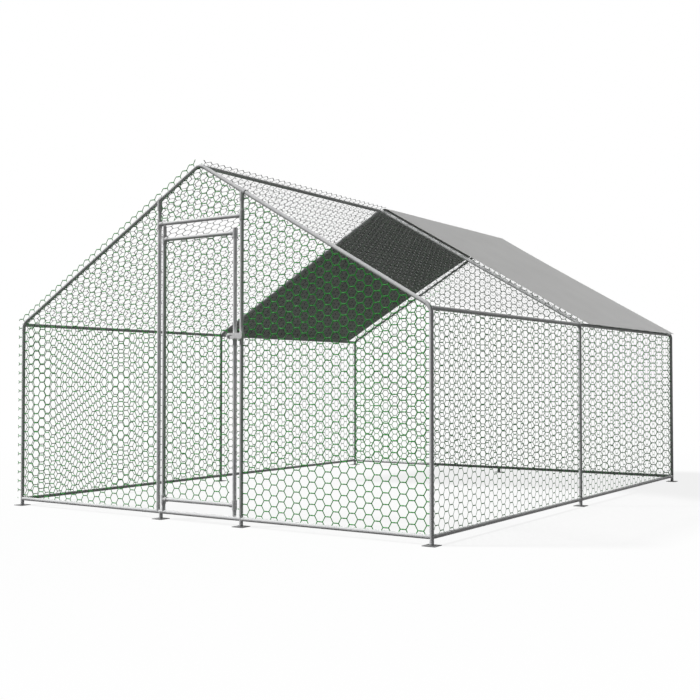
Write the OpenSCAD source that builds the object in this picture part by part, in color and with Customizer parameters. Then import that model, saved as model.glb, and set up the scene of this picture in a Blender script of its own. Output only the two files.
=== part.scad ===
// Walk-in chicken run: a gabled frame of plug-together steel tubes, hexagonal
// wire netting on every side, a hinged door with a slide bolt and a tarpaulin
// over the rear bay. X runs across the run, Y from the door to the back, Z up.
// The origin is on the ground in the middle of the footprint.

/* [Run] */
// Width between the axes of the side posts
run_w = 2970; // [2400:10:3600]
// Distance between the axes of neighbouring portals
bay_l = 1918; // [1400:2:2400]
// Height where the axes of a post and its rafter cross
eave_h = 1152; // [1130:1:1300]
// Height where the axes of a pair of rafters cross
ridge_h = 2006; // [1850:1:2300]
// Height of the base rails' axis above the ground
rail_h = 42; // [30:1:80]
// Drop from the eave crossing down to the eave rail's axis
eave_drop = 7; // [4:1:30]

/* [Tubes and fittings] */
// Outer diameter of the frame tubes
tube_d = 22; // [18:0.5:26]
// Wall of the frame tubes
tube_wall = 1; // [0.6:0.1:2]
// Radial clearance of a spigot in its tube
spigot_gap = 0.25; // [0.1:0.05:0.6]
// Length of a spigot inside its tube
spigot_l = 45; // [20:1:80]
// Wall of the plug-in fittings
fitting_wall = 1.5; // [0.8:0.1:3]
// Gap between the end of a tube and the shoulder that it meets
butt_gap = 0.2; // [0.1:0.05:0.6]
// Bend radius of the elbows, on the axis
bend_r = 60; // [45:1:90]
// Straight length of an elbow past its bend
elbow_stub = 30; // [10:1:60]
// Length of a branch past the tube that it leaves
branch_stub = 20; // [8:1:40]
// Length of a branch's neck past the tube that it leaves
neck_l = 3; // [1.5:0.5:6]
// Height of the bead where an elbow's bend meets its straight ends
bead = 0.6; // [0.3:0.1:1.5]
// Length of that bead
bead_l = 4; // [2:0.5:8]
// Wall of the tee sleeves
tee_wall = 2.8; // [1.5:0.1:4]
// Radial clearance of a tube in a tee sleeve
tee_gap = 0.2; // [0.1:0.05:0.5]
// Length of a tee sleeve along the tube
tee_l = 52; // [35:1:80]
// Depth of a tee's socket
tee_socket = 14; // [8:1:18]
// Depth of a rafter tee's socket
rafter_socket = 32; // [10:1:60]

/* [Feet] */
// Side of the square foot plates
foot_w = 72; // [66:1:100]
// Thickness of the foot plates
foot_t = 3; // [2:0.5:6]
// Diameter of the peg holes
peg_hole_d = 9; // [5:0.5:11]
// Distance of a peg hole from the foot's axis, along X and along Y
peg_off = 25; // [24:0.5:27]

/* [Door] */
// Distance of the door posts' axes from the middle of the front
door_post_x = 306; // [260:1:500]
// Distance from the hinge post's axis to the hinge stile's axis
hinge_offset = 40; // [38:1:60]
// Distance from the latch post's axis to the latch stile's axis
latch_offset = 47; // [44:1:60]
// Drop from the rafter's axis at the door post to the lintel's axis
lintel_drop = 137; // [110:1:220]
// Drop from the lintel's axis to the top rail's axis
top_drop = 92; // [60:1:140]
// Rise from the base rail's axis to the bottom rail's axis
bottom_rise = 72; // [60:1:140]
// Rise of the latch stile past the top rail's axis
stile_rise = 26; // [26:1:44]
// Clearance under the latch stile's cap and over the hinge boss
stile_gap = 4; // [2:0.5:12]
// Thickness of the stile caps
cap_t = 2; // [1:0.5:5]
// Length of a stile cap's plug
cap_plug = 10; // [5:1:25]
// Radial running clearance of the hinge pins
pin_gap = 0.1; // [0.03:0.01:0.1]
// Length of a hinge pin inside the stile
pin_l = 45; // [20:1:80]
// Diameter of a hinge pin's shank
shank_d = 12; // [8:0.5:14]
// Radial clearance of a hinge pin's shank in its hole
shank_gap = 0.1; // [0.05:0.05:0.3]

/* [Latch] */
// Height of the latch
latch_h = 1035; // [600:5:1300]
// Height of the latch case and of the keeper
latch_tall = 31; // [24:1:45]
// Reach of the latch case past the latch stile's axis
case_reach = 35; // [30:1:60]
// Reach of the keeper past the latch post's axis
keeper_reach = 22; // [18:1:60]
// Gap between the latch case and the keeper
latch_split = 2; // [1:0.25:4]
// Wall around the bolt and around the clamped tube
latch_wall = 2.5; // [1.5:0.25:4]
// Radial clearance of the latch castings on their tubes
clamp_gap = 0.15; // [0.05:0.05:0.3]
// Diameter of the bolt
bolt_d = 10; // [8:0.5:12]
// Radial clearance of the bolt
bolt_gap = 0.3; // [0.2:0.05:0.6]
// Travel of the bolt into the keeper
bolt_travel = 30; // [15:1:30]
// Diameter of the bolt's handle pin
handle_d = 6; // [4:0.5:7]
// Diameter of the handle's knob
knob_d = 13; // [9:0.5:18]
// Length of the handle's knob
knob_l = 8.5; // [6:0.5:20]

/* [Netting] */
// Size of a net cell across its flats
net_cell = 200; // [160:5:300]
// Width of a net strand
net_wire = 5; // [3:0.5:10]
// Thickness of the netting
net_t = 3; // [1.5:0.5:4]
// Gap between the netting and what it lies on
net_gap = 0.3; // [0.1:0.1:0.6]
// Overhang of the front nets and of the ridge edge past the tube axes
net_overhang = 45; // [30:1:60]
// Lap of the front nets past the hinge post's axis
hinge_lap = 8; // [0:1:10]
// Lap of the front nets past the latch post's axis
latch_lap = 23; // [18:1:23]
// Distance that the door net stops short of the latch stile's axis
door_net_short = 38; // [36:1:80]

/* [Tarpaulin] */
// Setback of the tarpaulin's front edge from the middle portal's axis
tarp_setback = 85; // [20:5:300]
// Reach of the tarpaulin's back edge past the back portal's axis
tarp_back = 35; // [0:1:36]
// Thickness of the tarpaulin
tarp_t = 2; // [1:0.5:4]
// Reach of the tarpaulin's lower edges past the eave crossing, down the slope
tarp_eave = 36; // [0:1:60]

/* [Hidden] */
$fn = 48;
// Length that a cut runs past the face it opens
past = 1;

post_x = run_w / 2;
portal_y = [-bay_l, 0, bay_l];
pitch = atan2(ridge_h - eave_h, post_x);
slope_l = post_x / cos(pitch);
eave_turn = 90 - pitch;
eave_tangent = bend_r * tan(eave_turn / 2);
ridge_tangent = bend_r * tan(pitch);
eave_rail_h = eave_h - eave_drop;
eave_rail_x = post_x - bend_r + sqrt(pow(bend_r, 2) - pow(eave_tangent - eave_drop, 2));
ridge_axis_h = ridge_h - bend_r / cos(pitch) + bend_r;

tube_r = tube_d / 2;
tube_bore = tube_d - 2 * tube_wall;
spigot_d = tube_bore - 2 * spigot_gap;
spigot_bore = spigot_d - 2 * fitting_wall;
branch_l = tube_r + branch_stub;
tee_bore = tube_d + 2 * tee_gap;
tee_d = tee_bore + 2 * tee_wall;

hinge_x = hinge_offset - door_post_x;
latch_x = door_post_x - latch_offset;
lintel_h = rafter_z(door_post_x) - lintel_drop;
door_top_h = lintel_h - top_drop;
door_bottom_h = rail_h + bottom_rise;
boss_top = rail_h + tube_r + stile_gap;
stile_foot = boss_top + butt_gap;
hinge_head = lintel_h - tee_d / 2 - cap_t;
latch_head = door_top_h + stile_rise;
pin_d = tube_bore - 2 * pin_gap;

latch_bore = tube_d + 2 * clamp_gap;
bolt_bore = bolt_d + 2 * bolt_gap;
bolt_y = latch_bore / 2 + latch_wall + bolt_bore / 2;
latch_front = bolt_y + bolt_bore / 2 + latch_wall;
latch_mid = latch_x + latch_offset / 2;
case_end = latch_mid - latch_split / 2;
keeper_start = latch_mid + latch_split / 2;
handle_gap = bolt_gap + 0.2;
handle_start = latch_x - case_reach + latch_wall + handle_d / 2 + handle_gap;

tube_net_off = tube_r + bead + net_gap;
front_net_off = tee_d / 2 + net_gap;
net_end = tube_r - past;
roof_net_front = front_net_off - bay_l;
tarp_off = tube_net_off + net_t + net_gap;
tarp_l = bay_l + tarp_back - tarp_setback;

tube_colour = [0.74, 0.76, 0.77];
fitting_colour = [0.66, 0.68, 0.70];
net_colour = [0.20, 0.42, 0.25];
roof_net_colour = [0.38, 0.42, 0.40];
tarp_colour = [0.68, 0.68, 0.68];
cap_colour = [0.12, 0.12, 0.13];

// Height of a rafter's axis at a distance from the middle of the run
function rafter_z(x) = ridge_h - abs(x) * tan(pitch);

// Depth of the floor of a tee's socket, measured from the sleeve's axis
function tee_floor(skew) =
    tee_bore / 2 / cos(skew) + tee_bore / 2 * tan(abs(skew)) + tee_wall;

// Point on the right slope: v up the slope from the eave crossing, off square to it
function slope_point(v, off) = [
    post_x - v * cos(pitch) + off * sin(pitch),
    eave_h + v * sin(pitch) + off * cos(pitch)
];

// Plain tube along Z
module tube(l) {
    difference() {
        cylinder(d = tube_d, h = l);
        translate([0, 0, -past]) cylinder(d = tube_bore, h = l + 2 * past);
    }
}

// Tube across the run, from x0 to x1
module tube_across(x0, x1, y, z) {
    translate([x0, y, z]) rotate([0, 90, 0]) tube(x1 - x0);
}

// Tube along the run, from y0 to y1
module tube_along(x, y0, y1, z) {
    translate([x, y0, z]) rotate([-90, 0, 0]) tube(y1 - y0);
}

// Arm of a fitting along Z: a shoulder of the tube's own size, then its spigot
module arm(shoulder) {
    cylinder(d = tube_d, h = shoulder);
    cylinder(d = spigot_d, h = shoulder + spigot_l);
}

// Bore of an arm, from a given depth out through the spigot's end
module arm_bore(shoulder, from) {
    translate([0, 0, from])
        cylinder(d = spigot_bore, h = shoulder + spigot_l + past - from);
}

// Branch of an elbow along Z: a neck, a shoulder of the tube's own size, its spigot
module branch() {
    cylinder(d = tube_bore, h = branch_l);
    translate([0, 0, tube_r + neck_l]) cylinder(d = tube_d, h = branch_stub - neck_l);
    cylinder(d = spigot_d, h = branch_l + spigot_l);
}

// Straight end of an elbow along Z, with a bead where the bend runs into it
module elbow_end() {
    arm(elbow_stub);
    translate([0, 0, -bead_l / 2]) cylinder(d = tube_d + 2 * bead, h = bead_l);
}

// Bore of an elbow's straight end, wider where the bend's bore runs into it
module elbow_end_bore() {
    arm_bore(elbow_stub, 0);
    translate([0, 0, -bead_l / 2]) cylinder(d = spigot_bore + 2 * bead, h = bead_l);
}

// Bend of round section in the XZ plane, about the origin, from one angle on
module bend(start, turn, d) {
    rotate([90, -start, 0])
        rotate_extrude(angle = turn) translate([bend_r, 0]) circle(d = d);
}

module post(side, k) {
    low = rail_h + branch_l + butt_gap;
    high = eave_h - eave_tangent - elbow_stub - butt_gap;
    color(tube_colour)
        translate([side * post_x, portal_y[k], low]) tube(high - low);
}

module rafter(side, k) {
    from = eave_tangent + elbow_stub + butt_gap;
    to = slope_l - ridge_tangent - elbow_stub - butt_gap;
    color(tube_colour)
        translate([side * post_x, portal_y[k], eave_h])
            rotate([0, -side * eave_turn, 0])
                translate([0, 0, from]) tube(to - from);
}

module ridge_tube(k) {
    color(tube_colour)
        tube_along(0, portal_y[k] + branch_l + butt_gap,
                   portal_y[k + 1] - branch_l - butt_gap, ridge_axis_h);
}

module eave_rail(side, k) {
    color(tube_colour)
        tube_along(side * eave_rail_x, portal_y[k] + branch_l + butt_gap,
                   portal_y[k + 1] - branch_l - butt_gap, eave_rail_h);
}

module side_base_rail(side, k) {
    color(tube_colour)
        tube_along(side * post_x, portal_y[k] + branch_l + butt_gap,
                   portal_y[k + 1] - branch_l - butt_gap, rail_h);
}

// Base rail across the run between two fitting axes
module cross_base_rail(x0, x1, y) {
    color(tube_colour)
        tube_across(x0 + branch_l + butt_gap, x1 - branch_l - butt_gap, y, rail_h);
}

module door_post(x) {
    low = rail_h + branch_l + butt_gap;
    high = rafter_z(x) - tee_floor(pitch) - butt_gap;
    color(tube_colour)
        translate([x, -bay_l, low]) tube(high - low);
}

module door_lintel() {
    reach = tee_floor(0) + butt_gap;
    color(tube_colour)
        difference() {
            tube_across(reach - door_post_x, door_post_x - reach, -bay_l, lintel_h);
            translate([hinge_x, -bay_l, lintel_h - tube_d])
                cylinder(d = shank_d + 2 * shank_gap, h = 2 * tube_d);
        }
}

// Eave elbow on the right, with a branch towards each listed end of the run
module eave_elbow(k, ends) {
    translate([post_x, portal_y[k], eave_h])
        difference() {
            union() {
                translate([-bend_r, 0, -eave_tangent]) bend(0, eave_turn, tube_d);
                translate([0, 0, -eave_tangent]) rotate([180, 0, 0]) elbow_end();
                rotate([0, -eave_turn, 0]) translate([0, 0, eave_tangent]) elbow_end();
                for (s = ends)
                    translate([eave_rail_x - post_x, 0, -eave_drop])
                        rotate([-90 * s, 0, 0]) branch();
            }
            translate([-bend_r, 0, -eave_tangent]) bend(0, eave_turn, spigot_bore);
            translate([0, 0, -eave_tangent]) rotate([180, 0, 0]) elbow_end_bore();
            rotate([0, -eave_turn, 0]) translate([0, 0, eave_tangent]) elbow_end_bore();
            for (s = ends)
                translate([eave_rail_x - post_x, 0, -eave_drop])
                    rotate([-90 * s, 0, 0]) arm_bore(branch_l, tube_r + past);
        }
}

// The branch directions at the front, middle and back portals
branch_ends = [[1], [-1, 1], [-1]];

module eave_elbows_right() {
    color(fitting_colour)
        for (k = [0:2]) eave_elbow(k, branch_ends[k]);
}

module eave_elbows_left() {
    color(fitting_colour)
        mirror([1, 0, 0])
            for (k = [0:2]) eave_elbow(k, branch_ends[k]);
}

module ridge_elbow(k, ends) {
    drop = bend_r / cos(pitch);
    translate([0, portal_y[k], ridge_h])
        difference() {
            union() {
                translate([0, 0, -drop]) bend(90 - pitch, 2 * pitch, tube_d);
                for (side = [-1, 1])
                    rotate([0, side * (90 + pitch), 0])
                        translate([0, 0, ridge_tangent]) elbow_end();
                for (s = ends)
                    translate([0, 0, bend_r - drop]) rotate([-90 * s, 0, 0]) branch();
            }
            translate([0, 0, -drop]) bend(90 - pitch, 2 * pitch, spigot_bore);
            for (side = [-1, 1])
                rotate([0, side * (90 + pitch), 0])
                    translate([0, 0, ridge_tangent]) elbow_end_bore();
            for (s = ends)
                translate([0, 0, bend_r - drop])
                    rotate([-90 * s, 0, 0]) arm_bore(branch_l, tube_r + past);
        }
}

module ridge_elbows() {
    color(fitting_colour)
        for (k = [0:2]) ridge_elbow(k, branch_ends[k]);
}

// Foot plate on the ground with a stem up to the rails; the peg holes lie on
// the diagonal that hand picks
module foot_stand(hand) {
    difference() {
        union() {
            translate([-foot_w / 2, -foot_w / 2, 0]) cube([foot_w, foot_w, foot_t]);
            cylinder(d = tube_d, h = rail_h);
        }
        for (s = [-1, 1])
            translate([s * peg_off, s * hand * peg_off, -past])
                cylinder(d = peg_hole_d, h = foot_t + 2 * past);
    }
}

// Foot with rail arms at the listed angles round Z, and a post arm if asked
module foot(hand, angles, has_post) {
    difference() {
        union() {
            foot_stand(hand);
            translate([0, 0, rail_h]) {
                for (a = angles) rotate([0, 90, a]) arm(branch_l);
                if (has_post) arm(branch_l);
            }
        }
        translate([0, 0, rail_h]) {
            for (a = angles) rotate([0, 90, a]) arm_bore(branch_l, tube_r + past);
            if (has_post) arm_bore(branch_l, tube_r + past);
        }
    }
}

module corner_feet() {
    color(fitting_colour)
        for (sx = [-1, 1], sy = [-1, 1])
            translate([sx * post_x, sy * bay_l, 0])
                foot(sx * sy, [90 + sx * 90, -sy * 90], true);
}

module mid_feet() {
    color(fitting_colour)
        for (sx = [-1, 1])
            translate([sx * post_x, 0, 0]) foot(sx, [-90, 90], true);
}

module door_foot_latch() {
    color(fitting_colour)
        translate([door_post_x, -bay_l, 0]) foot(1, [0, 180], true);
}

module back_foot() {
    color(fitting_colour)
        translate([0, bay_l, 0]) foot(1, [0, 180], false);
}

// Foot shared by the hinge post and the door's lower pivot, halfway between them
module door_foot_hinge() {
    shank_hole = shank_d + 2 * shank_gap;
    color(fitting_colour)
        translate([-door_post_x, -bay_l, 0])
            difference() {
                union() {
                    translate([hinge_offset / 2, 0, 0]) foot_stand(-1);
                    translate([0, 0, rail_h]) {
                        rotate([0, 90, 0]) cylinder(d = tube_d, h = hinge_offset);
                        rotate([0, -90, 0]) arm(branch_l);
                        translate([hinge_offset, 0, 0]) rotate([0, 90, 0]) arm(branch_l);
                        arm(branch_l);
                    }
                    translate([hinge_offset, 0, rail_h])
                        cylinder(d = tube_d, h = boss_top - rail_h);
                }
                translate([0, 0, rail_h]) {
                    rotate([0, -90, 0]) arm_bore(branch_l, tube_r + past);
                    translate([hinge_offset, 0, 0])
                        rotate([0, 90, 0]) arm_bore(branch_l, tube_r + past);
                    arm_bore(branch_l, tube_r + past);
                }
                translate([hinge_offset, 0, rail_h])
                    cylinder(d = shank_hole, h = boss_top - rail_h + past);
            }
}

// Tee with its sleeve along Z, leaned over by skew, and its socket along X
module tee(skew, socket) {
    difference() {
        union() {
            rotate([0, skew, 0]) translate([0, 0, -tee_l / 2]) cylinder(d = tee_d, h = tee_l);
            rotate([0, 90, 0]) cylinder(d = tee_d, h = tee_floor(skew) + socket);
        }
        rotate([0, skew, 0])
            translate([0, 0, -tee_l / 2 - past]) cylinder(d = tee_bore, h = tee_l + 2 * past);
        translate([tee_floor(skew), 0, 0])
            rotate([0, 90, 0]) cylinder(d = tee_bore, h = socket + past);
    }
}

module rafter_tees() {
    color(fitting_colour)
        for (side = [-1, 1])
            translate([side * door_post_x, -bay_l, rafter_z(door_post_x)])
                rotate([0, 90, 0]) tee(side * pitch, rafter_socket);
}

module lintel_tees() {
    color(fitting_colour)
        for (side = [-1, 1])
            translate([side * door_post_x, -bay_l, lintel_h])
                rotate([0, 0, 90 + side * 90]) tee(0, tee_socket);
}

// Lower and upper pins that the hinge stile turns on
module hinge_pins() {
    color(fitting_colour) {
        translate([hinge_x, -bay_l, boss_top + butt_gap / 2])
            cylinder(d = pin_d, h = pin_l);
        translate([hinge_x, -bay_l, rail_h + shank_gap])
            cylinder(d = shank_d, h = boss_top - rail_h + pin_l / 2);
        translate([hinge_x, -bay_l, hinge_head - pin_l])
            cylinder(d = pin_d, h = pin_l + cap_t / 2);
        translate([hinge_x, -bay_l, hinge_head - pin_l / 2])
            cylinder(d = shank_d, h = lintel_h + tube_r + cap_t - hinge_head + pin_l / 2);
    }
}

module door_hinge_stile() {
    color(tube_colour)
        translate([hinge_x, -bay_l, stile_foot]) tube(hinge_head - stile_foot);
}

module door_latch_stile() {
    low = stile_foot + cap_t;
    color(tube_colour)
        translate([latch_x, -bay_l, low]) tube(latch_head - cap_t - low);
}

module door_rail(z) {
    reach = tee_floor(0) + butt_gap;
    color(tube_colour)
        tube_across(hinge_x + reach, latch_x - reach, -bay_l, z);
}

module door_tees() {
    color(fitting_colour)
        for (z = [door_bottom_h, door_top_h]) {
            translate([hinge_x, -bay_l, z]) tee(0, tee_socket);
            translate([latch_x, -bay_l, z]) rotate([0, 0, 180]) tee(0, tee_socket);
        }
}

// Cap along Z: a disc of the tube's size below its plug
module stile_cap() {
    cylinder(d = tube_d, h = cap_t - butt_gap);
    cylinder(d = spigot_d, h = cap_t + cap_plug);
}

module stile_caps() {
    color(cap_colour) {
        translate([latch_x, -bay_l, stile_foot]) stile_cap();
        translate([latch_x, -bay_l, latch_head]) rotate([180, 0, 0]) stile_cap();
    }
}

// Latch casting on a tube at x: a block from x0 to x1 before it and a collar round it
module latch_casting(x, x0, x1) {
    difference() {
        union() {
            translate([x0, -bay_l - latch_front, latch_h - latch_tall / 2])
                cube([x1 - x0, latch_front, latch_tall]);
            translate([x, -bay_l, latch_h - latch_tall / 2])
                cylinder(d = latch_bore + 2 * latch_wall, h = latch_tall);
        }
        translate([x, -bay_l, latch_h - latch_tall / 2 - past])
            cylinder(d = latch_bore, h = latch_tall + 2 * past);
    }
}

// Round cut along X on the bolt's axis
module bolt_line(x0, x1, d) {
    translate([x0, -bay_l - bolt_y, latch_h]) rotate([0, 90, 0]) cylinder(d = d, h = x1 - x0);
}

module latch_case() {
    slot_w = handle_d + 2 * handle_gap;
    start = latch_x - case_reach;
    color(fitting_colour)
        difference() {
            latch_casting(latch_x, start, case_end);
            bolt_line(start + latch_wall, case_end + past, bolt_bore);
            translate([handle_start - slot_w / 2, -bay_l - latch_front - past,
                       latch_h - slot_w / 2])
                cube([bolt_travel + slot_w, latch_front - bolt_y + past, slot_w]);
        }
}

module latch_keeper() {
    end = door_post_x + keeper_reach;
    color(fitting_colour)
        difference() {
            latch_casting(door_post_x, keeper_start, end);
            bolt_line(keeper_start - past, end + past, bolt_bore);
        }
}

// Slide bolt drawn back into its case, with a handle through the case's slot
module latch_bolt() {
    stem = latch_front - bolt_y + handle_gap;
    color(tube_colour) {
        bolt_line(latch_x - case_reach + latch_wall + bolt_gap, case_end - latch_split, bolt_d);
        translate([handle_start, -bay_l - bolt_y, latch_h])
            rotate([90, 0, 0]) {
                cylinder(d = handle_d, h = stem + knob_l / 2);
                translate([0, 0, stem]) cylinder(d = knob_d, h = knob_l);
            }
    }
}

// Signed side of a point against the line from a to b, positive on its left
function side_of(a, b, p) = (b.x - a.x) * (p.y - a.y) - (b.y - a.y) * (p.x - a.x);

// Part of a polygon on the left of the line from a to b
function cut_left(poly, a, b) = [
    for (i = [0:1:len(poly) - 1])
        let (p = poly[i], q = poly[(i + 1) % len(poly)])
        let (sp = side_of(a, b, p), sq = side_of(a, b, q))
        each concat(sp >= 0 ? [p] : [], sp * sq < 0 ? [p + (q - p) * sp / (sp - sq)] : [])
];

// Part of a polygon inside a convex window
function cut_to(poly, window, i = 0) =
    i == len(window) ? poly
    : cut_to(cut_left(poly, window[i], window[(i + 1) % len(window)]), window, i + 1);

function area_of(poly) =
    len(poly) < 3 ? 0
    : abs([for (i = [0:len(poly) - 1]) cross(poly[i], poly[(i + 1) % len(poly)])]
          * [for (p = poly) 1]) / 2;

// Polygon without points that nearly repeat the next one
function tidy(poly) = [
    for (i = [0:1:len(poly) - 1])
        if (norm(poly[i] - poly[(i + 1) % len(poly)]) > net_wire / 10) poly[i]
];

// Convex outline drawn in by d on every side
function drawn_in(poly, d) = [
    for (i = [0:len(poly) - 1])
        let (n = len(poly), a = poly[(i + n - 1) % n], b = poly[i], c = poly[(i + 1) % n])
        let (u = (b - a) / norm(b - a), v = (c - b) / norm(c - b))
        b + d * ((v - u) / cross(u, v))
];

function low_of(poly) = [min([for (p = poly) p.x]), min([for (p = poly) p.y])];
function high_of(poly) = [max([for (p = poly) p.x]), max([for (p = poly) p.y])];

// Net openings inside a window: flat-topped hexagons in staggered columns
function openings_in(window) =
    let (column = net_cell * sqrt(3) / 2, radius = (net_cell - net_wire) / sqrt(3))
    let (low = low_of(window), high = high_of(window))
    [
        for (i = [floor(low.x / column) - 1:ceil(high.x / column) + 1])
            for (j = [floor(low.y / net_cell) - 1:ceil(high.y / net_cell) + 1])
                let (mid = [i * column, (j + (i % 2 == 0 ? 0 : 0.5)) * net_cell])
                let (hex = [for (a = [0:60:300]) mid + radius * [cos(a), sin(a)]])
                let (cell = tidy(cut_to(hex, window)))
                if (area_of(cell) > net_wire * net_wire * 4) cell
    ];

// Openings with the corner of a notch kept clear on the window's left edge
function openings_beside(window, notch) =
    let (low = notch[0] - [0, net_wire], high = notch[1] + [net_wire, net_wire])
    let (far = high_of(window), near = low_of(window) - [past, past])
    let (box = [[near.x, low.y], [high.x, low.y], [high.x, high.y], [near.x, high.y]])
    let (beside = [[high.x, near.y], far + [past, -far.y], far + [past, past], [high.x, far.y]])
    let (over = [[near.x, high.y], [notch[1].x, high.y], [notch[1].x, far.y], [near.x, far.y]])
    let (under = [[near.x, near.y], [notch[1].x, near.y], [notch[1].x, low.y], [near.x, low.y]])
    [
        for (cell = openings_in(window))
            if (area_of(cut_to(cell, box)) == 0) cell
            else
                for (part = [beside, over, under])
                    let (piece = tidy(cut_to(cell, part)))
                    if (area_of(piece) > net_wire * net_wire * 4) piece
    ];

// Index lists of rings that follow one another in one point list
function ring_paths(rings, i = 0, start = 0) =
    i == len(rings) ? []
    : concat([[for (j = [0:len(rings[i]) - 1]) start + j]],
             ring_paths(rings, i + 1, start + len(rings[i])));

// Flat net: an outline with openings in it
module netting(outline, openings) {
    rings = concat([outline], openings);
    linear_extrude(net_t)
        polygon([for (ring = rings) each ring], ring_paths(rings));
}

// Flat net whose openings fill a convex outline
module full_net(outline) {
    netting(outline, openings_in(drawn_in(outline, net_wire)));
}

module wall_net(side) {
    reach = bay_l + net_end;
    top = eave_rail_h + net_end;
    lift = side > 0 ? tube_net_off : -tube_net_off - net_t;
    color(net_colour)
        translate([side * post_x + lift, 0, 0])
            rotate([90, 0, 90])
                full_net([[-reach, rail_h], [reach, rail_h], [reach, top], [-reach, top]]);
}

// Lays a flat net on the right slope, its first axis along the run and its
// second up the slope from the eave crossing
module on_slope() {
    translate([post_x, 0, eave_h])
        rotate([0, pitch, 0]) translate([0, 0, tube_net_off]) rotate([0, 0, 90]) children();
}

module roof_net_right() {
    back = bay_l + net_end;
    color(roof_net_colour)
        on_slope()
            full_net([[roof_net_front, 0], [back, 0], [back, slope_l], [roof_net_front, slope_l]]);
}

// The left slope's net laps over the ridge in front of the tarpaulin
module roof_net_left() {
    front = roof_net_front;
    back = bay_l + net_end;
    lap_end = tarp_setback - net_wire;
    lap_start = slope_l - net_wire;
    top = slope_l + net_overhang;
    main = [[front, 0], [back, 0], [back, slope_l], [front, slope_l]];
    lap = [[front, lap_start], [lap_end, lap_start], [lap_end, top], [front, top]];
    outline = [
        [front, 0], [back, 0], [back, slope_l],
        [lap_end, slope_l], [lap_end, top], [front, top]
    ];
    color(roof_net_colour)
        mirror([1, 0, 0])
            on_slope()
                netting(outline, concat(openings_in(drawn_in(main, net_wire)),
                                        openings_in(drawn_in(lap, net_wire))));
}

// Stands a flat net upright across the run, its front face at y
module across(y) {
    translate([0, y + net_t, 0]) rotate([90, 0, 0]) children();
}

module back_net() {
    reach = post_x + net_end;
    lift = net_end / cos(pitch);
    color(net_colour)
        across(bay_l + tube_net_off)
            full_net([
                [-reach, rail_h], [reach, rail_h], [reach, rafter_z(reach) + lift],
                [0, ridge_h + lift], [-reach, rafter_z(reach) + lift]
            ]);
}

// Height of the front nets' sloping edge
function front_edge(x) = rafter_z(x) + net_overhang / cos(pitch);

module front_net_left() {
    from = -post_x - net_overhang;
    to = hinge_lap - door_post_x;
    color(net_colour)
        across(-bay_l - front_net_off - net_t)
            full_net([[from, rail_h], [to, rail_h], [to, front_edge(to)], [from, front_edge(from)]]);
}

// The latch side's net is notched round the keeper
module front_net_right() {
    from = door_post_x - latch_lap;
    to = post_x + net_overhang;
    notch_x = door_post_x + keeper_reach + net_gap + past;
    notch_h = latch_tall / 2 + net_gap + past;
    notch = [[from, latch_h - notch_h], [notch_x, latch_h + notch_h]];
    outline = [[from, rail_h], [to, rail_h], [to, front_edge(to)], [from, front_edge(from)]];
    notched = concat(outline, [
        [from, notch[1].y], notch[1], [notch_x, notch[0].y], notch[0]
    ]);
    color(net_colour)
        across(-bay_l - front_net_off - net_t)
            netting(notched, openings_beside(drawn_in(outline, net_wire), notch));
}

// Net above the lintel, between the two front nets
module gable_net() {
    from = hinge_lap - door_post_x + net_wire;
    to = door_post_x - latch_lap - net_wire;
    lift = net_overhang / cos(pitch);
    color(net_colour)
        across(-bay_l - front_net_off - net_t)
            full_net([
                [from, lintel_h], [to, lintel_h], [to, front_edge(to)],
                [0, ridge_h + lift], [from, front_edge(from)]
            ]);
}

module door_net() {
    from = hinge_x - net_wire;
    to = latch_x - door_net_short;
    color(net_colour)
        across(-bay_l - front_net_off - net_t)
            full_net([
                [from, door_bottom_h], [to, door_bottom_h], [to, door_top_h], [from, door_top_h]
            ]);
}

// One sheet bent over the ridge, lying on the roof nets
module tarpaulin() {
    half = [
        for (off = [tarp_off, tarp_off + tarp_t])
            [slope_point(-tarp_eave, off), [0, ridge_h + off / cos(pitch)]]
    ];
    flip = [[-1, 0], [0, 1]];
    section = [
        half[0][0], half[1][0], half[1][1], flip * half[1][0], flip * half[0][0], half[0][1]
    ];
    color(tarp_colour)
        translate([0, tarp_setback + tarp_l, 0])
            rotate([90, 0, 0]) linear_extrude(tarp_l) polygon(section);
}

post(-1, 0);  // post_front_left
post(1, 0);  // post_front_right
post(-1, 1);  // post_mid_left
post(1, 1);  // post_mid_right
post(-1, 2);  // post_back_left
post(1, 2);  // post_back_right
rafter(-1, 0);  // rafter_front_left
rafter(1, 0);  // rafter_front_right
rafter(-1, 1);  // rafter_mid_left
rafter(1, 1);  // rafter_mid_right
rafter(-1, 2);  // rafter_back_left
rafter(1, 2);  // rafter_back_right
ridge_tube(0);  // ridge_tube_front
ridge_tube(1);  // ridge_tube_back
eave_rail(-1, 0);  // eave_rail_left_front
eave_rail(-1, 1);  // eave_rail_left_back
eave_rail(1, 0);  // eave_rail_right_front
eave_rail(1, 1);  // eave_rail_right_back
side_base_rail(-1, 0);  // base_rail_left_front
side_base_rail(-1, 1);  // base_rail_left_back
side_base_rail(1, 0);  // base_rail_right_front
side_base_rail(1, 1);  // base_rail_right_back
cross_base_rail(-post_x, -door_post_x, -bay_l);  // base_rail_front_left
cross_base_rail(hinge_x, door_post_x, -bay_l);  // door_sill
cross_base_rail(door_post_x, post_x, -bay_l);  // base_rail_front_right
cross_base_rail(-post_x, 0, bay_l);  // base_rail_back_left
cross_base_rail(0, post_x, bay_l);  // base_rail_back_right
door_post(-door_post_x);  // door_post_hinge
door_post(door_post_x);  // door_post_latch
door_lintel();
eave_elbows_left();
eave_elbows_right();
ridge_elbows();
corner_feet();
mid_feet();
door_foot_hinge();
door_foot_latch();
back_foot();
rafter_tees();
lintel_tees();
hinge_pins();
door_hinge_stile();
door_latch_stile();
door_rail(door_top_h);  // door_top_rail
door_rail(door_bottom_h);  // door_bottom_rail
door_tees();
stile_caps();
door_net();
latch_case();
latch_bolt();
latch_keeper();
wall_net(-1);  // wall_net_left
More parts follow.
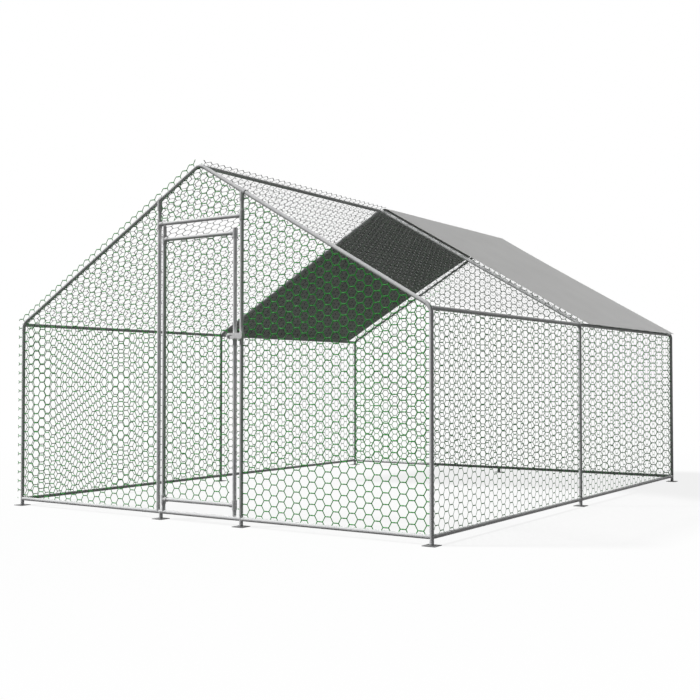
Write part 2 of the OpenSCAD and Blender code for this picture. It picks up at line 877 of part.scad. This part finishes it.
wall_net(1);  // wall_net_right
roof_net_left();
roof_net_right();
back_net();
front_net_left();
front_net_right();
gable_net();
tarpaulin();
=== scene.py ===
"""Looks of a walk-in chicken run: galvanised tube frame, hexagonal wire netting and a tarpaulin.

Lengths are in metres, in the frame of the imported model: X across, Y from the door to the back, Z up.
"""

import math

import bpy
import numpy as np
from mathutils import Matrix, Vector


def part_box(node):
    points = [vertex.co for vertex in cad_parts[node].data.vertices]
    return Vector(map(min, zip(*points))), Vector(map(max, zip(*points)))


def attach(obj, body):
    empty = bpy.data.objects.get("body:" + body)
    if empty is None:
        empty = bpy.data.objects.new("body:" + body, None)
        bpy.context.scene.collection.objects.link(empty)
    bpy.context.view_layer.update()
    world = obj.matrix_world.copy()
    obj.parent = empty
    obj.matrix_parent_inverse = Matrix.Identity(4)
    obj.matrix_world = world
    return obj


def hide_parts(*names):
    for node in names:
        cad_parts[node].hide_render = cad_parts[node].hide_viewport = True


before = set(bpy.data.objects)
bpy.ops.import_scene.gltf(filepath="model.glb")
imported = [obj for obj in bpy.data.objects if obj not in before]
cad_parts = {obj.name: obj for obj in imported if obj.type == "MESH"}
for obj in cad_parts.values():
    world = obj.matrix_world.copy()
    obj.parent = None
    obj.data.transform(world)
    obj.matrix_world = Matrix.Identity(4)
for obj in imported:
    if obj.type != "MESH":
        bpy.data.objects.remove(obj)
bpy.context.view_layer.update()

# Axes and radius of the tubes that carry the coverings, from a corner post, to a hundredth of a millimetre
post_low, post_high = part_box("post_back_right")
POST_X = round((post_low.x + post_high.x) / 2, 5)
PORTAL_Y = round((post_low.y + post_high.y) / 2, 5)
TUBE_R = round((post_high.x - post_low.x) / 2, 5)
# Heights at which the rafters' axes cross those of the posts and each other
EAVE_H = 1.152
RIDGE_H = 2.006
PITCH = math.atan2(RIDGE_H - EAVE_H, POST_X)
SLOPE = POST_X / math.cos(PITCH)

# Netting: cell across its flats, pitch of its columns, half width of a slanting wire and of a twisted strand,
# and radius of the twist. Real wire is about 1 mm thick; it is drawn wider so that it shows from a few metres
CELL = 0.0572
COLUMN = 0.0497
WIRE_R = 0.0027
STRAND_R = 0.0022
HELIX_R = 0.0018
# Thickness over width of the wire, nearly round across the front and the back and flat on the walls and the
# roof, and the share of the full width that the flat wire has
ROUND = 0.8
FLAT = 0.15
FLAT_GAUGE = 0.82
# Sides of a wire, its rings along a twist and along a straight, and the shortest offcut that stays in a net
WIRE_SIDES = 4
TWIST_RINGS = 4
STRAIGHT_RINGS = 2
OFFCUT = 0.001
# Place of a cell's centre along the two directions of each net's plane
WALL_SHIFT = (0.0212, 0.0065)
FRONT_SHIFT = (0.033, 0.038)
BACK_SHIFT = (-0.002, 0.011)
ROOF_SHIFT = (0.0065, 0.0445)
# Reach of the cut wire ends past the tube axes at the left of the front, and over the ridge
OVERHANG = 0.045
RIDGE_LAP = 0.028
# Room left round the latch keeper, and between the netting over the ridge and the tarpaulin
KEEPER_GAP = 0.002
LAP_GAP = 0.005

# Heights of the roof nets' middle and of the tarpaulin's lower face over the plane of the rafters' axes
NET_LIFT = 0.0134
TARP_LIFT = 0.0185

# Tarpaulin: its edges along the run, bow of its back edge over the ridge and the power that shapes the bow,
# reach past the eaves, thickness, rounding over the ridge, and the angle past which an edge is shaded sharp
TARP_FRONT = 0.054
TARP_BACK = 1.864
TARP_BOW = 0.115
BOW_POWER = 4
TARP_EAVE = 0.036
TARP_T = 0.0012
RIDGE_R = 0.030
SHARP_ANGLE = math.radians(40)
# Way over the sheet from the ridge to the end of the rounding, and to a lower edge
TARP_TURN = RIDGE_R * PITCH
TARP_HALF = TARP_TURN + SLOPE + TARP_EAVE + (TARP_LIFT - RIDGE_R) * math.tan(PITCH)
# Grid points of the sheet down each slope, round the ridge and along the run
SLOPE_POINTS = 60
RIDGE_POINTS = 9
LENGTH_POINTS = 65
# Waves of the sheet: mean lift, and the margin in which they die out at its edges
WAVE_LIFT = 0.001
WAVE_MARGIN = 0.15
# Rates of the waves across the run and along it, in radians per metre, sway of the first in radians, with its
# own rate, and skew of the second
ACROSS_RATE = 7.1
ALONG_RATE = 5.3
SWAY = 3.0
SWAY_RATE = 2.3
SKEW_RATE = 1.7

# Lamps: strength in watts per square metre, width in degrees, and turn about X, Y and Z in degrees
LAMPS = {
    "key": (3.6, 8, (41.3, 0, -58.0)),
    "fill": (0.2, 30, (81.4, 0, 27.1)),
    "rim": (0.4, 30, (65.2, 0, 164)),
}
# Strength of the world as a light
WORLD_LIGHT = 0.04
# Floor: half its width, the distances from the run's middle between which its shading fades into plain white,
# and the share of plain white nearer than that
FLOOR_HALF = 60
FADE_START = 3.0
FADE_END = 7.0
PLAIN_SHARE = 0.86
# Camera at the photograph's viewing angle: lens and sensor in millimetres, place, turn about X, Y and Z in
# degrees, and the farthest distance that it sees
LENS_MM = 54.274
SENSOR_MM = 36
EYE_PLACE = (3.9742, -6.3649, 0.7977)
EYE_TURN = (91.596, 0, 33.648)
EYE_REACH = 200


def linear(hex_colour):
    """Linear RGBA of an sRGB hex colour, by the standard's two-part curve."""
    srgb = np.array([int(hex_colour[i:i + 2], 16) for i in (1, 3, 5)]) / 255
    rgb = np.where(srgb <= 0.04045, srgb / 12.92, ((srgb + 0.055) / 1.055) ** 2.4)
    return (*rgb.tolist(), 1.0)


def add(tree, kind, inputs=None, stops=(), **settings):
    """Adds one node to a tree, sets its properties and its colour stops, and links or sets its inputs."""
    node = tree.nodes.new(kind)
    for name, value in settings.items():
        setattr(node, name, value)
    for number, (position, hex_colour) in enumerate(stops):
        node.color_ramp.elements[number].position = position
        node.color_ramp.elements[number].color = linear(hex_colour)
    for name, value in (inputs or {}).items():
        if isinstance(value, bpy.types.NodeSocket):
            tree.links.new(value, node.inputs[name])
        else:
            node.inputs[name].default_value = value
    return node


def blank_material(name):
    """An empty material and its node tree."""
    material = bpy.data.materials.new(name)
    material.use_nodes = True
    material.node_tree.nodes.clear()
    return material, material.node_tree


def galvanised_steel(name, dark, light, rough, spangle_mm, patina_mm=111):
    """Hot-dip galvanised steel under a dull zinc patina, whose crystals show as faint patches of grey.

    The patina hides the metal's own shine. Painted shade and soil darken the plates on the ground, below
    about 10 mm.
    The tone adds the crystals, at under half weight, to the patina's clouds, and runs from about 0.3 to 1.1.
    """
    material, tree = blank_material(name)
    place = add(tree, "ShaderNodeTexCoord").outputs["Object"]
    spangle = add(tree, "ShaderNodeTexVoronoi", {"Vector": place, "Scale": 1000 / spangle_mm})
    patina = add(tree, "ShaderNodeTexNoise", {"Vector": place, "Scale": 1000 / patina_mm, "Detail": 4.0})
    patches = add(tree, "ShaderNodeMath", {0: spangle.outputs["Color"], 1: 0.45}, operation="MULTIPLY")
    tone = add(tree, "ShaderNodeMath", {0: patches.outputs[0], 1: patina.outputs["Fac"]}, operation="ADD")
    gloss = add(tree, "ShaderNodeMapRange", {"Value": tone.outputs[0], "From Min": 0.3, "From Max": 1.1,
                                             "To Min": rough - 0.07, "To Max": rough + 0.09})
    bump = add(tree, "ShaderNodeBump", {"Height": tone.outputs[0], "Strength": 0.12, "Distance": 0.0004})
    # Painted shade and soil: the base colour falls to 0.3 of itself below about 10 mm, on the plates on the
    # ground
    height = add(tree, "ShaderNodeSeparateXYZ", {"Vector": place}).outputs["Z"]
    painted_shade_and_soil = add(tree, "ShaderNodeMapRange", {"Value": height, "From Min": 0.004, "From Max": 0.012,
                                            "To Min": 0.3, "To Max": 1.0})
    zinc = add(tree, "ShaderNodeValToRGB", {"Fac": tone.outputs[0]}, stops=((0.25, dark), (1.0, light)))
    shaded_and_soiled_zinc = add(tree, "ShaderNodeVectorMath", {0: zinc.outputs["Color"], "Scale": painted_shade_and_soil.outputs["Result"]},
                 operation="SCALE")
    skin = add(tree, "ShaderNodeBsdfPrincipled", {
        "Base Color": shaded_and_soiled_zinc.outputs["Vector"], "Metallic": 0.0, "Specular IOR Level": 0.12,
        "Roughness": gloss.outputs["Result"], "Normal": bump.outputs["Normal"]})
    add(tree, "ShaderNodeOutputMaterial", {"Surface": skin.outputs["BSDF"]})
    return material


def coated_wire(name, dark, light, tone_mm=25, lump_mm=1.1):
    """Wire dipped in PVC: a thin satin coat, a little uneven in tone and thickness."""
    material, tree = blank_material(name)
    place = add(tree, "ShaderNodeTexCoord").outputs["Object"]
    tone = add(tree, "ShaderNodeTexNoise", {"Vector": place, "Scale": 1000 / tone_mm, "Detail": 3.0})
    lumps = add(tree, "ShaderNodeTexNoise", {"Vector": place, "Scale": 1000 / lump_mm, "Detail": 1.0})
    bump = add(tree, "ShaderNodeBump", {"Height": lumps.outputs["Fac"], "Strength": 0.2, "Distance": 0.0003})
    paint = add(tree, "ShaderNodeValToRGB", {"Fac": tone.outputs["Fac"]}, stops=((0.3, dark), (0.7, light)))
    skin = add(tree, "ShaderNodeBsdfPrincipled", {
        "Base Color": paint.outputs["Color"], "Roughness": 0.5, "IOR": 1.5, "Specular IOR Level": 0.12,
        "Normal": bump.outputs["Normal"]})
    add(tree, "ShaderNodeOutputMaterial", {"Surface": skin.outputs["BSDF"]})
    return material


def woven_tarpaulin(name, dark, light, rough, tape_mm=6, cloud_mm=333):
    """Polythene tape cloth with a film on it: a flat plain weave under a dull shine.

    The tapes are about 2.5 mm wide; they are drawn at 6 mm so that they show.
    """
    material, tree = blank_material(name)
    sheet = add(tree, "ShaderNodeTexCoord").outputs["UV"]
    tape = add(tree, "ShaderNodeTexChecker", {"Vector": sheet, "Scale": 1000 / tape_mm,
                                              "Color1": linear("#ffffff"), "Color2": linear("#000000")})
    cloud = add(tree, "ShaderNodeTexNoise", {"Vector": sheet, "Scale": 1000 / cloud_mm, "Detail": 5.0})
    weave = add(tree, "ShaderNodeMath", {0: tape.outputs["Fac"], 1: 0.12}, operation="MULTIPLY")
    tone = add(tree, "ShaderNodeMath", {0: weave.outputs[0], 1: cloud.outputs["Fac"]}, operation="ADD")
    bump = add(tree, "ShaderNodeBump", {"Height": tape.outputs["Fac"], "Strength": 0.15, "Distance": 0.0003})
    film = add(tree, "ShaderNodeValToRGB", {"Fac": tone.outputs[0]}, stops=((0.3, dark), (0.85, light)))
    cloth = add(tree, "ShaderNodeBsdfPrincipled", {
        "Base Color": film.outputs["Color"], "Roughness": rough, "IOR": 1.5, "Specular IOR Level": 0.3,
        "Normal": bump.outputs["Normal"]})
    add(tree, "ShaderNodeOutputMaterial", {"Surface": cloth.outputs["BSDF"]})
    return material


def moulded_nylon(name, dark, light, grain_mm=0.7):
    """Injection-moulded nylon: near black, with a fine spark-eroded grain."""
    material, tree = blank_material(name)
    place = add(tree, "ShaderNodeTexCoord").outputs["Object"]
    grain = add(tree, "ShaderNodeTexNoise", {"Vector": place, "Scale": 1000 / grain_mm, "Detail": 2.0})
    bump = add(tree, "ShaderNodeBump", {"Height": grain.outputs["Fac"], "Strength": 0.3, "Distance": 0.0002})
    tint = add(tree, "ShaderNodeValToRGB", {"Fac": grain.outputs["Fac"]}, stops=((0.3, dark), (0.7, light)))
    skin = add(tree, "ShaderNodeBsdfPrincipled", {
        "Base Color": tint.outputs["Color"], "Roughness": 0.5, "IOR": 1.53, "Normal": bump.outputs["Normal"]})
    add(tree, "ShaderNodeOutputMaterial", {"Surface": skin.outputs["BSDF"]})
    return material


def background_rays(tree):
    """A socket that is 1 for rays from the eye, off gloss and through glass, and 0 for all others."""
    path = add(tree, "ShaderNodeLightPath").outputs
    direct = add(tree, "ShaderNodeMath", {0: path["Is Camera Ray"], 1: path["Is Glossy Ray"]},
                 operation="MAXIMUM")
    seen = add(tree, "ShaderNodeMath", {0: direct.outputs[0], 1: path["Is Transmission Ray"]},
               operation="MAXIMUM")
    return seen.outputs[0]


def studio_world():
    """A world that is white to the eye and in gloss, and only a dim light."""
    world = bpy.data.worlds.new("studio")
    bpy.context.scene.world = world
    world.use_nodes = True
    tree = world.node_tree
    tree.nodes.clear()
    level = add(tree, "ShaderNodeMapRange", {
        "Value": background_rays(tree), "To Min": WORLD_LIGHT, "To Max": 1.0})
    sky = add(tree, "ShaderNodeBackground", {"Color": linear("#ffffff"), "Strength": level.outputs["Result"]})
    add(tree, "ShaderNodeOutputWorld", {"Surface": sky.outputs["Background"]})


def studio_lamps():
    """Distant lamps: a key from the eye's upper left, and a weak fill from beside it and rim from behind."""
    for name, (strength, width, turn) in LAMPS.items():
        lamp = bpy.data.lights.new(name, "SUN")
        lamp.energy = strength
        lamp.angle = math.radians(width)
        holder = bpy.data.objects.new(name, lamp)
        holder.rotation_euler = [math.radians(angle) for angle in turn]
        bpy.context.scene.collection.objects.link(holder)


def studio_floor():
    """A plain floor, white to the eye with a faint shadow on it, and dim where it throws light back.

    To the eye it mixes shaded matt white with plain white, and the plain share grows away from the run.
    """
    material, tree = blank_material("studio_floor")
    place = add(tree, "ShaderNodeTexCoord").outputs["Object"]
    reach = add(tree, "ShaderNodeVectorMath", {0: place}, operation="LENGTH")
    share = add(tree, "ShaderNodeMapRange", {
        "Value": reach.outputs["Value"], "From Min": FADE_START, "From Max": FADE_END,
        "To Min": PLAIN_SHARE, "To Max": 1.0}, interpolation_type="SMOOTHSTEP")
    matt = add(tree, "ShaderNodeBsdfDiffuse", {"Color": linear("#fbfbfb")})
    white = add(tree, "ShaderNodeEmission", {"Color": linear("#ffffff"), "Strength": 1.0})
    shown = add(tree, "ShaderNodeMixShader", {
        0: share.outputs["Result"], 1: matt.outputs["BSDF"], 2: white.outputs["Emission"]})
    dim = add(tree, "ShaderNodeBsdfDiffuse", {"Color": linear("#505050")})
    mix = add(tree, "ShaderNodeMixShader", {
        0: background_rays(tree), 1: dim.outputs["BSDF"], 2: shown.outputs["Shader"]})
    add(tree, "ShaderNodeOutputMaterial", {"Surface": mix.outputs["Shader"]})
    corners = [(x * FLOOR_HALF, y * FLOOR_HALF, 0) for x, y in ((-1, -1), (1, -1), (1, 1), (-1, 1))]
    mesh = bpy.data.meshes.new("floor")
    mesh.from_pydata(corners, [], [(0, 1, 2, 3)])
    mesh.materials.append(material)
    floor = bpy.data.objects.new("floor", mesh)
    bpy.context.scene.collection.objects.link(floor)


def studio_camera():
    """The eye, in front of the run and to its right."""
    eye = bpy.data.cameras.new("eye")
    eye.sensor_width = SENSOR_MM
    eye.lens = LENS_MM
    eye.clip_end = EYE_REACH
    camera = bpy.data.objects.new("eye", eye)
    camera.location = EYE_PLACE
    camera.rotation_euler = [math.radians(angle) for angle in EYE_TURN]
    bpy.context.scene.collection.objects.link(camera)
    bpy.context.scene.camera = camera


def piece(name, points, faces, body, smooth=False):
    """A mesh object at the origin from arrays of points and of faces, riding on a body."""
    mesh = bpy.data.meshes.new(name)
    points = np.asarray(points, np.float32).reshape(-1, 3)
    sizes = np.concatenate([np.full(len(part), part.shape[1]) for part in faces])
    corners = np.concatenate([part.reshape(-1) for part in faces])
    mesh.vertices.add(len(points))
    mesh.vertices.foreach_set("co", points.reshape(-1))
    mesh.loops.add(len(corners))
    mesh.loops.foreach_set("vertex_index", corners.astype(np.int32))
    mesh.polygons.add(len(sizes))
    mesh.polygons.foreach_set("loop_start", np.concatenate([[0], np.cumsum(sizes)[:-1]]).astype(np.int32))
    mesh.polygons.foreach_set("use_smooth", np.full(len(sizes), smooth))
    mesh.update(calc_edges=True)
    obj = bpy.data.objects.new(name, mesh)
    bpy.context.scene.collection.objects.link(obj)
    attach(obj, body)
    return obj


def inside(starts, ends, window):
    """Parts of straight segments inside a convex window, listed anticlockwise.

    Each window edge bounds a half-plane. A segment keeps the span of its parameter that is inside all of
    them, and is dropped if that is a short offcut.
    """
    low = np.zeros(len(starts))
    high = np.ones(len(starts))
    run = ends - starts
    corners = np.asarray(window, float)
    for a, b in zip(corners, np.roll(corners, -1, axis=0)):
        normal = np.array([a[1] - b[1], b[0] - a[0]])
        at = (starts - a) @ normal
        rate = run @ normal
        with np.errstate(divide="ignore", invalid="ignore"):
            cross = -at / rate
        low = np.where(rate > 0, np.maximum(low, cross), low)
        high = np.where(rate < 0, np.minimum(high, cross), high)
        high = np.where((rate == 0) & (at < 0), -1.0, high)
    keep = (high - low) * np.linalg.norm(run, axis=1) > OFFCUT
    return (starts + run * low[:, None])[keep], (starts + run * high[:, None])[keep]


def hexagon_wires(windows, shift):
    """Wires of hexagon netting inside some windows, as straight runs: (twisted pairs, slanting wires).

    Cell centres stand on columns one and a half sides apart, every other one raised by half a cell, all moved
    by the shift. Each cell gives its top side, which is a twisted pair, and its two slanting sides on the
    right. Some spare cells round each window make sure that it is filled.
    """
    twists, slants = [], []
    side = COLUMN / 1.5
    spare = 3
    for window in windows:
        corners = np.asarray(window, float)
        low, high = corners.min(0), corners.max(0)
        column = np.arange(math.floor(low[0] / COLUMN) - spare, math.ceil(high[0] / COLUMN) + spare)
        row = np.arange(math.floor(low[1] / CELL) - spare, math.ceil(high[1] / CELL) + spare)
        i, j = (grid.reshape(-1) for grid in np.meshgrid(column, row))
        middle = np.stack([i * COLUMN, (j + 0.5 * (i % 2)) * CELL], axis=1) + shift
        top_left, top_right = middle + [-side / 2, CELL / 2], middle + [side / 2, CELL / 2]
        right, low_right = middle + [side, 0], middle + [side / 2, -CELL / 2]
        twists.append(inside(top_left, top_right, window))
        slants.append(inside(np.concatenate([top_right, right]), np.concatenate([right, low_right]), window))
    return [tuple(np.concatenate(part) for part in zip(*runs)) for runs in (twists, slants)]


def swept(starts, ends, rings, radius, helix, phase, flat):
    """Points and faces of many thin rods, one along each run in the plane.

    Each ring of a rod is a regular polygon about its axis; the axis itself circles the run once on a helix of
    the given radius, and the whole is flattened towards the plane. Coordinates are along the plane's two
    directions and its normal.
    """
    run = ends - starts
    along = run / np.linalg.norm(run, axis=1)[:, None]
    across = np.stack([-along[:, 1], along[:, 0]], axis=1)
    t = np.linspace(0, 1, rings)
    spin = phase + 2 * math.pi * t
    turn = np.arange(WIRE_SIDES)
    corner = 2 * math.pi * turn / WIRE_SIDES
    off = helix * np.cos(spin)[:, None] + radius * np.cos(corner)
    up = flat * (helix * np.sin(spin)[:, None] + radius * np.sin(corner))
    axis = starts[:, None] + run[:, None] * t[:, None]
    level = axis[:, :, None] + across[:, None, None] * off[None, :, :, None]
    points = np.concatenate([level, np.broadcast_to(up[None, :, :, None], (*level.shape[:3], 1))], axis=3)
    first = np.arange(len(starts))[:, None, None] * (rings * WIRE_SIDES)
    ring = np.arange(rings - 1)[:, None] * WIRE_SIDES
    a, b = first + ring + turn, first + ring + (turn + 1) % WIRE_SIDES
    walls = np.stack([a, b, b + WIRE_SIDES, a + WIRE_SIDES], axis=-1).reshape(-1, 4)
    start_cap = first[:, 0] + turn[::-1]
    end_cap = first[:, 0] + (rings - 1) * WIRE_SIDES + turn
    return points.reshape(-1, 3), walls, start_cap, end_cap


def netting(name, node, windows, shift, origin, u, v, normal, body, material, flat, gauge=1.0):
    """A net in the plane origin + a u + b v: twisted pairs of strands joined by slanting wires.

    The wire's width is multiplied by the gauge, and its thickness is its width multiplied by flat.
    """
    twists, slants = hexagon_wires(windows, shift)
    blocks, faces, count = [], [], 0
    for points, walls, *caps in (
            swept(*twists, TWIST_RINGS, gauge * STRAND_R, HELIX_R, 0.0, flat),
            swept(*twists, TWIST_RINGS, gauge * STRAND_R, HELIX_R, math.pi, flat),
            swept(*slants, STRAIGHT_RINGS, gauge * WIRE_R, 0.0, 0.0, flat)):
        blocks.append(points)
        faces += [part + count for part in (walls, *caps)]
        count += len(points)
    basis = np.array([u, v, normal], float)
    if np.linalg.det(basis) < 0:
        faces = [part[:, ::-1] for part in faces]
    obj = piece(name, np.asarray(origin) + np.concatenate(blocks) @ basis, faces, body)
    obj.data.materials.append(material)
    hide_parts(node)


def wall_nets(green):
    """The nets of the two long walls, each in the plane of its posts' axes and of the size of its node."""
    for side, name in ((-1, "left"), (1, "right")):
        low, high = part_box("wall_net_" + name)
        window = [(low.y, low.z), (high.y, low.z), (high.y, high.z), (low.y, high.z)]
        netting("wall_netting_" + name, "wall_net_" + name, [window], WALL_SHIFT, (side * POST_X, 0, 0),
                (0, 1, 0), (0, 0, 1), (1, 0, 0), "frame", green, FLAT, FLAT_GAUGE)


def end_nets(green):
    """The nets across the front and the back, each in the plane of its tubes' axes.

    Each is as wide as its node, but ends at the axis of the right post. The door's net is a rectangle. The
    others end along the rafters: past the left one by the overhang at the front, and flush with the tube's
    outside elsewhere. A slanting edge is a line given by its height at the middle of the run.
    """
    slant = math.tan(PITCH)
    for name, body in (("back_net", "frame"), ("front_net_left", "frame"), ("front_net_right", "frame"),
                       ("gable_net", "frame"), ("door_net", "door")):
        at_back = name == "back_net"
        low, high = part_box(name)
        x0, x1 = low.x, min(high.x, POST_X)
        left = RIDGE_H + (TUBE_R if at_back else OVERHANG) / math.cos(PITCH)
        right = RIDGE_H + TUBE_R / math.cos(PITCH)
        if name == "door_net":
            top = [(x1, high.z), (x0, high.z)]
        elif x0 < 0 < x1:
            peak = ((right - left) / (2 * slant), (left + right) / 2)
            top = [(x1, right - slant * x1), peak, (x0, left + slant * x0)]
        else:
            edge = left if x1 < 0 else right
            top = [(x1, edge - slant * abs(x1)), (x0, edge - slant * abs(x0))]
        window = [(x0, low.z), (x1, low.z), *top]
        windows = beside_keeper(window) if name == "front_net_right" else [window]
        netting(name.replace("net", "netting"), name, windows, BACK_SHIFT if at_back else FRONT_SHIFT,
                (0, PORTAL_Y if at_back else -PORTAL_Y, 0), (1, 0, 0), (0, 0, 1), (0, -1, 0),
                body, green, ROUND)


def beside_keeper(window):
    """A window cut into three that leave the latch keeper free: beside it, above it and below it."""
    low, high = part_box("latch_keeper")
    (x0, z0), (x1, _), (_, z1), (_, z2) = window
    at = high.x + KEEPER_GAP
    top = z2 + (z1 - z2) / (x1 - x0) * (at - x0)
    beside = [(at, z0), (x1, z0), (x1, z1), (at, top)]
    over = [(x0, high.z + KEEPER_GAP), (at, high.z + KEEPER_GAP), (at, top), (x0, z2)]
    under = [(x0, z0), (at, z0), (at, low.z - KEEPER_GAP), (x0, low.z - KEEPER_GAP)]
    return [beside, over, under]


def roof_nets(grey):
    """Nets on the slopes, their twists running down the slope from the ridge. The left one laps the ridge."""
    low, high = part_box("roof_net_right")
    for side, name in ((-1, "left"), (1, "right")):
        windows = [[(0, low.y), (SLOPE, low.y), (SLOPE, high.y), (0, high.y)]]
        if side < 0:
            end = TARP_FRONT - LAP_GAP
            windows.append([(-RIDGE_LAP, low.y), (0, low.y), (0, end), (-RIDGE_LAP, end)])
        normal = np.array([side * math.sin(PITCH), 0, math.cos(PITCH)])
        origin = np.array([0, 0, RIDGE_H]) + NET_LIFT * normal
        netting("roof_netting_" + name, "roof_net_" + name, windows, ROOF_SHIFT, origin,
                (side * math.cos(PITCH), 0, -math.sin(PITCH)), (0, 1, 0), normal, "frame", grey,
                FLAT, FLAT_GAUGE)


def tarpaulin_face():
    """Lower face of the sheet on a grid: way across the ridge, place along the run, points and normals.

    The section is two straight slopes joined by an arc over the ridge, walked by arc length. The back edge
    bows out over the ridge with a power of the share of the way up from the lower edge. Shallow waves, the
    sum of two sines, lift the sheet by up to 2 mm and die out at its edges.
    """
    slope = np.linspace(TARP_TURN, TARP_HALF, SLOPE_POINTS)
    arc = np.linspace(-TARP_TURN, TARP_TURN, RIDGE_POINTS)[1:-1]
    s = np.concatenate([-slope[::-1], arc, slope])
    angle = np.clip(s / RIDGE_R, -PITCH, PITCH)
    beyond = np.sign(s) * np.maximum(np.abs(s) - TARP_TURN, 0)
    crown = RIDGE_H + RIDGE_R + (TARP_LIFT - RIDGE_R) / math.cos(PITCH)
    x = RIDGE_R * np.sin(angle) + beyond * math.cos(PITCH)
    z = crown - RIDGE_R * (1 - np.cos(angle)) - np.abs(beyond) * math.sin(PITCH)
    normal = np.stack([np.sin(angle), np.zeros_like(s), np.cos(angle)], axis=1)[:, None]
    back = (TARP_BACK + TARP_BOW * (1 - np.abs(s) / TARP_HALF) ** BOW_POWER)[:, None]
    way, share = np.meshgrid(s, np.linspace(0, 1, LENGTH_POINTS), indexing="ij")
    y = TARP_FRONT + share * (back - TARP_FRONT)
    margin = np.minimum(TARP_HALF - np.abs(way), np.minimum(y - TARP_FRONT, back - y))
    across = np.sin(ACROSS_RATE * way + SWAY * np.sin(SWAY_RATE * y))
    along = np.sin(ALONG_RATE * y + SKEW_RATE * way)
    wave = WAVE_LIFT * np.minimum(1, margin / WAVE_MARGIN) * (1 + (across + along) / 2)
    section = np.stack(np.broadcast_arrays(x[:, None], y, z[:, None]), axis=-1)
    return way, y, section + normal * wave[..., None], normal


def tarpaulin(outside, underside):
    """One sheet over the ridge, lying on the roof nets.

    It is closed by its lower face, the same face raised along the normals by the thickness, and a rim.
    """
    way, y, lower, normal = tarpaulin_face()
    upper = lower + normal * TARP_T
    index = np.arange(way.size).reshape(way.shape)
    a, b, c, d = index[:-1, :-1], index[1:, :-1], index[1:, 1:], index[:-1, 1:]
    top = np.stack([a, b, c, d], axis=-1).reshape(-1, 4) + way.size
    under = np.stack([d, c, b, a], axis=-1).reshape(-1, 4)
    rim = np.concatenate([index[:, 0], index[-1, 1:], index[-2::-1, -1], index[0, -2:0:-1]])
    after = np.roll(rim, -1)
    edges = np.stack([rim, after, after + way.size, rim + way.size], axis=-1)
    obj = piece("tarpaulin_sheet", np.concatenate([lower.reshape(-1, 3), upper.reshape(-1, 3)]),
                [top, under, edges], "frame", smooth=True)
    obj.data.materials.append(outside)
    obj.data.materials.append(underside)
    obj.data.polygons.foreach_set("material_index", np.repeat([0, 1, 0], [len(top), len(under), len(edges)]))
    corner = np.zeros(len(obj.data.loops), np.int32)
    obj.data.loops.foreach_get("vertex_index", corner)
    flat = np.stack([way.reshape(-1), y.reshape(-1)], axis=1)[corner % way.size]
    obj.data.uv_layers.new(name="flat_sheet").data.foreach_set("uv", flat.astype(np.float32).reshape(-1))
    obj.data.set_sharp_from_angle(angle=SHARP_ANGLE)
    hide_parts("tarpaulin")


def dress_frame(tube, fitting, latch, cap):
    """Finishes of the rigid nodes: tubes, fittings, the latch and the stile caps.

    The nodes of the nets and the tarpaulin, which are replaced, take the tubes' finish unseen.
    """
    kinds = {"stile_caps": cap, "latch_case": latch, "latch_bolt": latch, "latch_keeper": latch}
    fittings = ("elbows", "feet", "foot", "tees", "hinge_pins")
    for name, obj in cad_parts.items():
        finish = kinds.get(name, fitting if any(word in name for word in fittings) else tube)
        obj.data.materials.clear()
        obj.data.materials.append(finish)


bpy.context.scene.view_settings.view_transform = "Standard"
studio_world()
studio_lamps()
studio_floor()
studio_camera()

green_wire = coated_wire("green_pvc_coated_wire", "#279833", "#38ab45")
grey_wire = coated_wire("grey_coated_wire", "#353a36", "#4a504b")
dress_frame(galvanised_steel("galvanised_steel_tube", "#d4d6d8", "#ececec", 0.42, 7),
            galvanised_steel("galvanised_steel_fitting", "#ced0d2", "#e6e6e6", 0.45, 5),
            galvanised_steel("bright_zinc_plated_steel", "#eeeeee", "#f8f8f8", 0.35, 4),
            moulded_nylon("black_moulded_nylon", "#131415", "#222324"))
wall_nets(green_wire)
end_nets(green_wire)
roof_nets(grey_wire)
# The underside is the same grey cloth, given a lighter colour than the outside: painted light that lifts the
# shade under the sheet
tarpaulin(woven_tarpaulin("grey_tarpaulin_outside", "#b8b8b7", "#c1c1c0", 0.55),
          woven_tarpaulin("grey_tarpaulin_underside_painted_light", "#d2d2cf", "#e0e0dd", 0.7))
